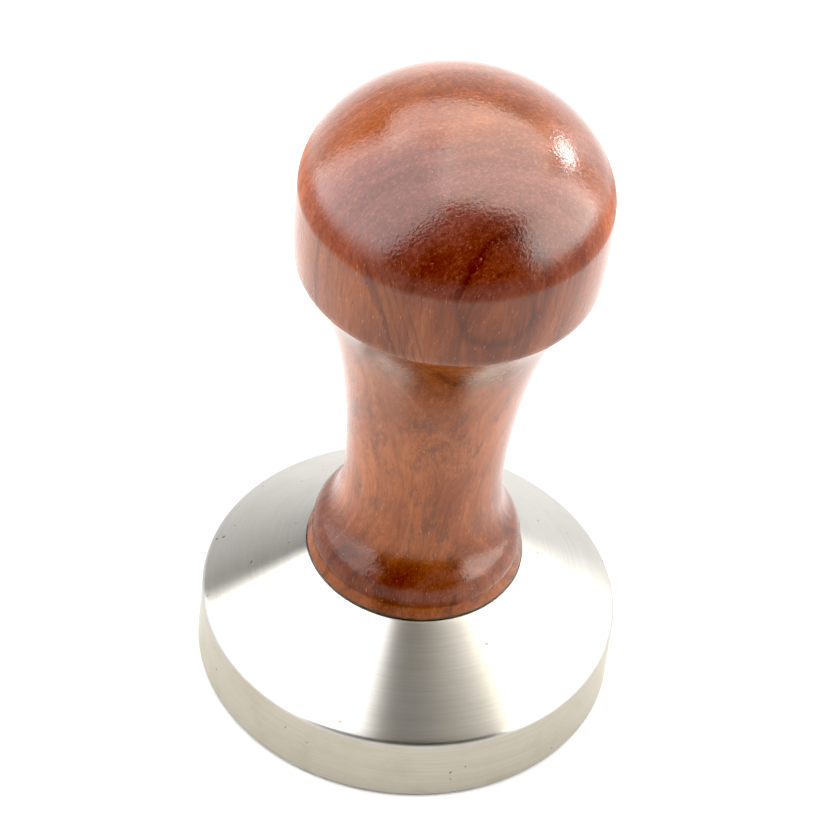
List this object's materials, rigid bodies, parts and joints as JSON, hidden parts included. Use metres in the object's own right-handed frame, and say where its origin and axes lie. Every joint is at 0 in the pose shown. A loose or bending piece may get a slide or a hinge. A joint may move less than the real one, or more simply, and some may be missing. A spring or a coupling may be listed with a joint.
{
  "type": "espresso tamper",
  "caption": "Hand tamper: heavy steel base with a steep brushed cone, waisted wooden handle with a mushroom knob, joined by a screw thread.",
  "frame": {"origin": "centre of the flat tamping face", "axes": "+Z along the turning axis, from the tamping face up to the knob"},
  "size_m": [0.058, 0.058, 0.1009],
  "materials": {
    "steel": "turned and brushed round the axis",
    "washer": "matte",
    "wood": "glossy lacquer",
    "brass": "machined",
    "zinc_steel": "zinc plated"
  },
  "bodies": {
    "base": {"base": "steel"},
    "washer": {"foot_washer": "washer"},
    "handle": {"handle": "wood", "threaded_insert": "brass", "stud": "zinc_steel"}
  },
  "joints": [
    {"name": "handle_lift", "type": "slide", "parent": "base", "child": "washer", "axis": [0, 0, 1], "range_m": [0, 0.01125]},
    {"name": "handle_turn", "type": "hinge", "parent": "washer", "child": "handle", "pos_m": [0, 0, 0.02], "axis": [0, 0, 1], "range_deg": [0, 3240]}
  ],
  "couplings": [
    {"joint": "handle_lift", "follows": "handle_turn", "m_per_rad": 0.00019894}
  ]
}
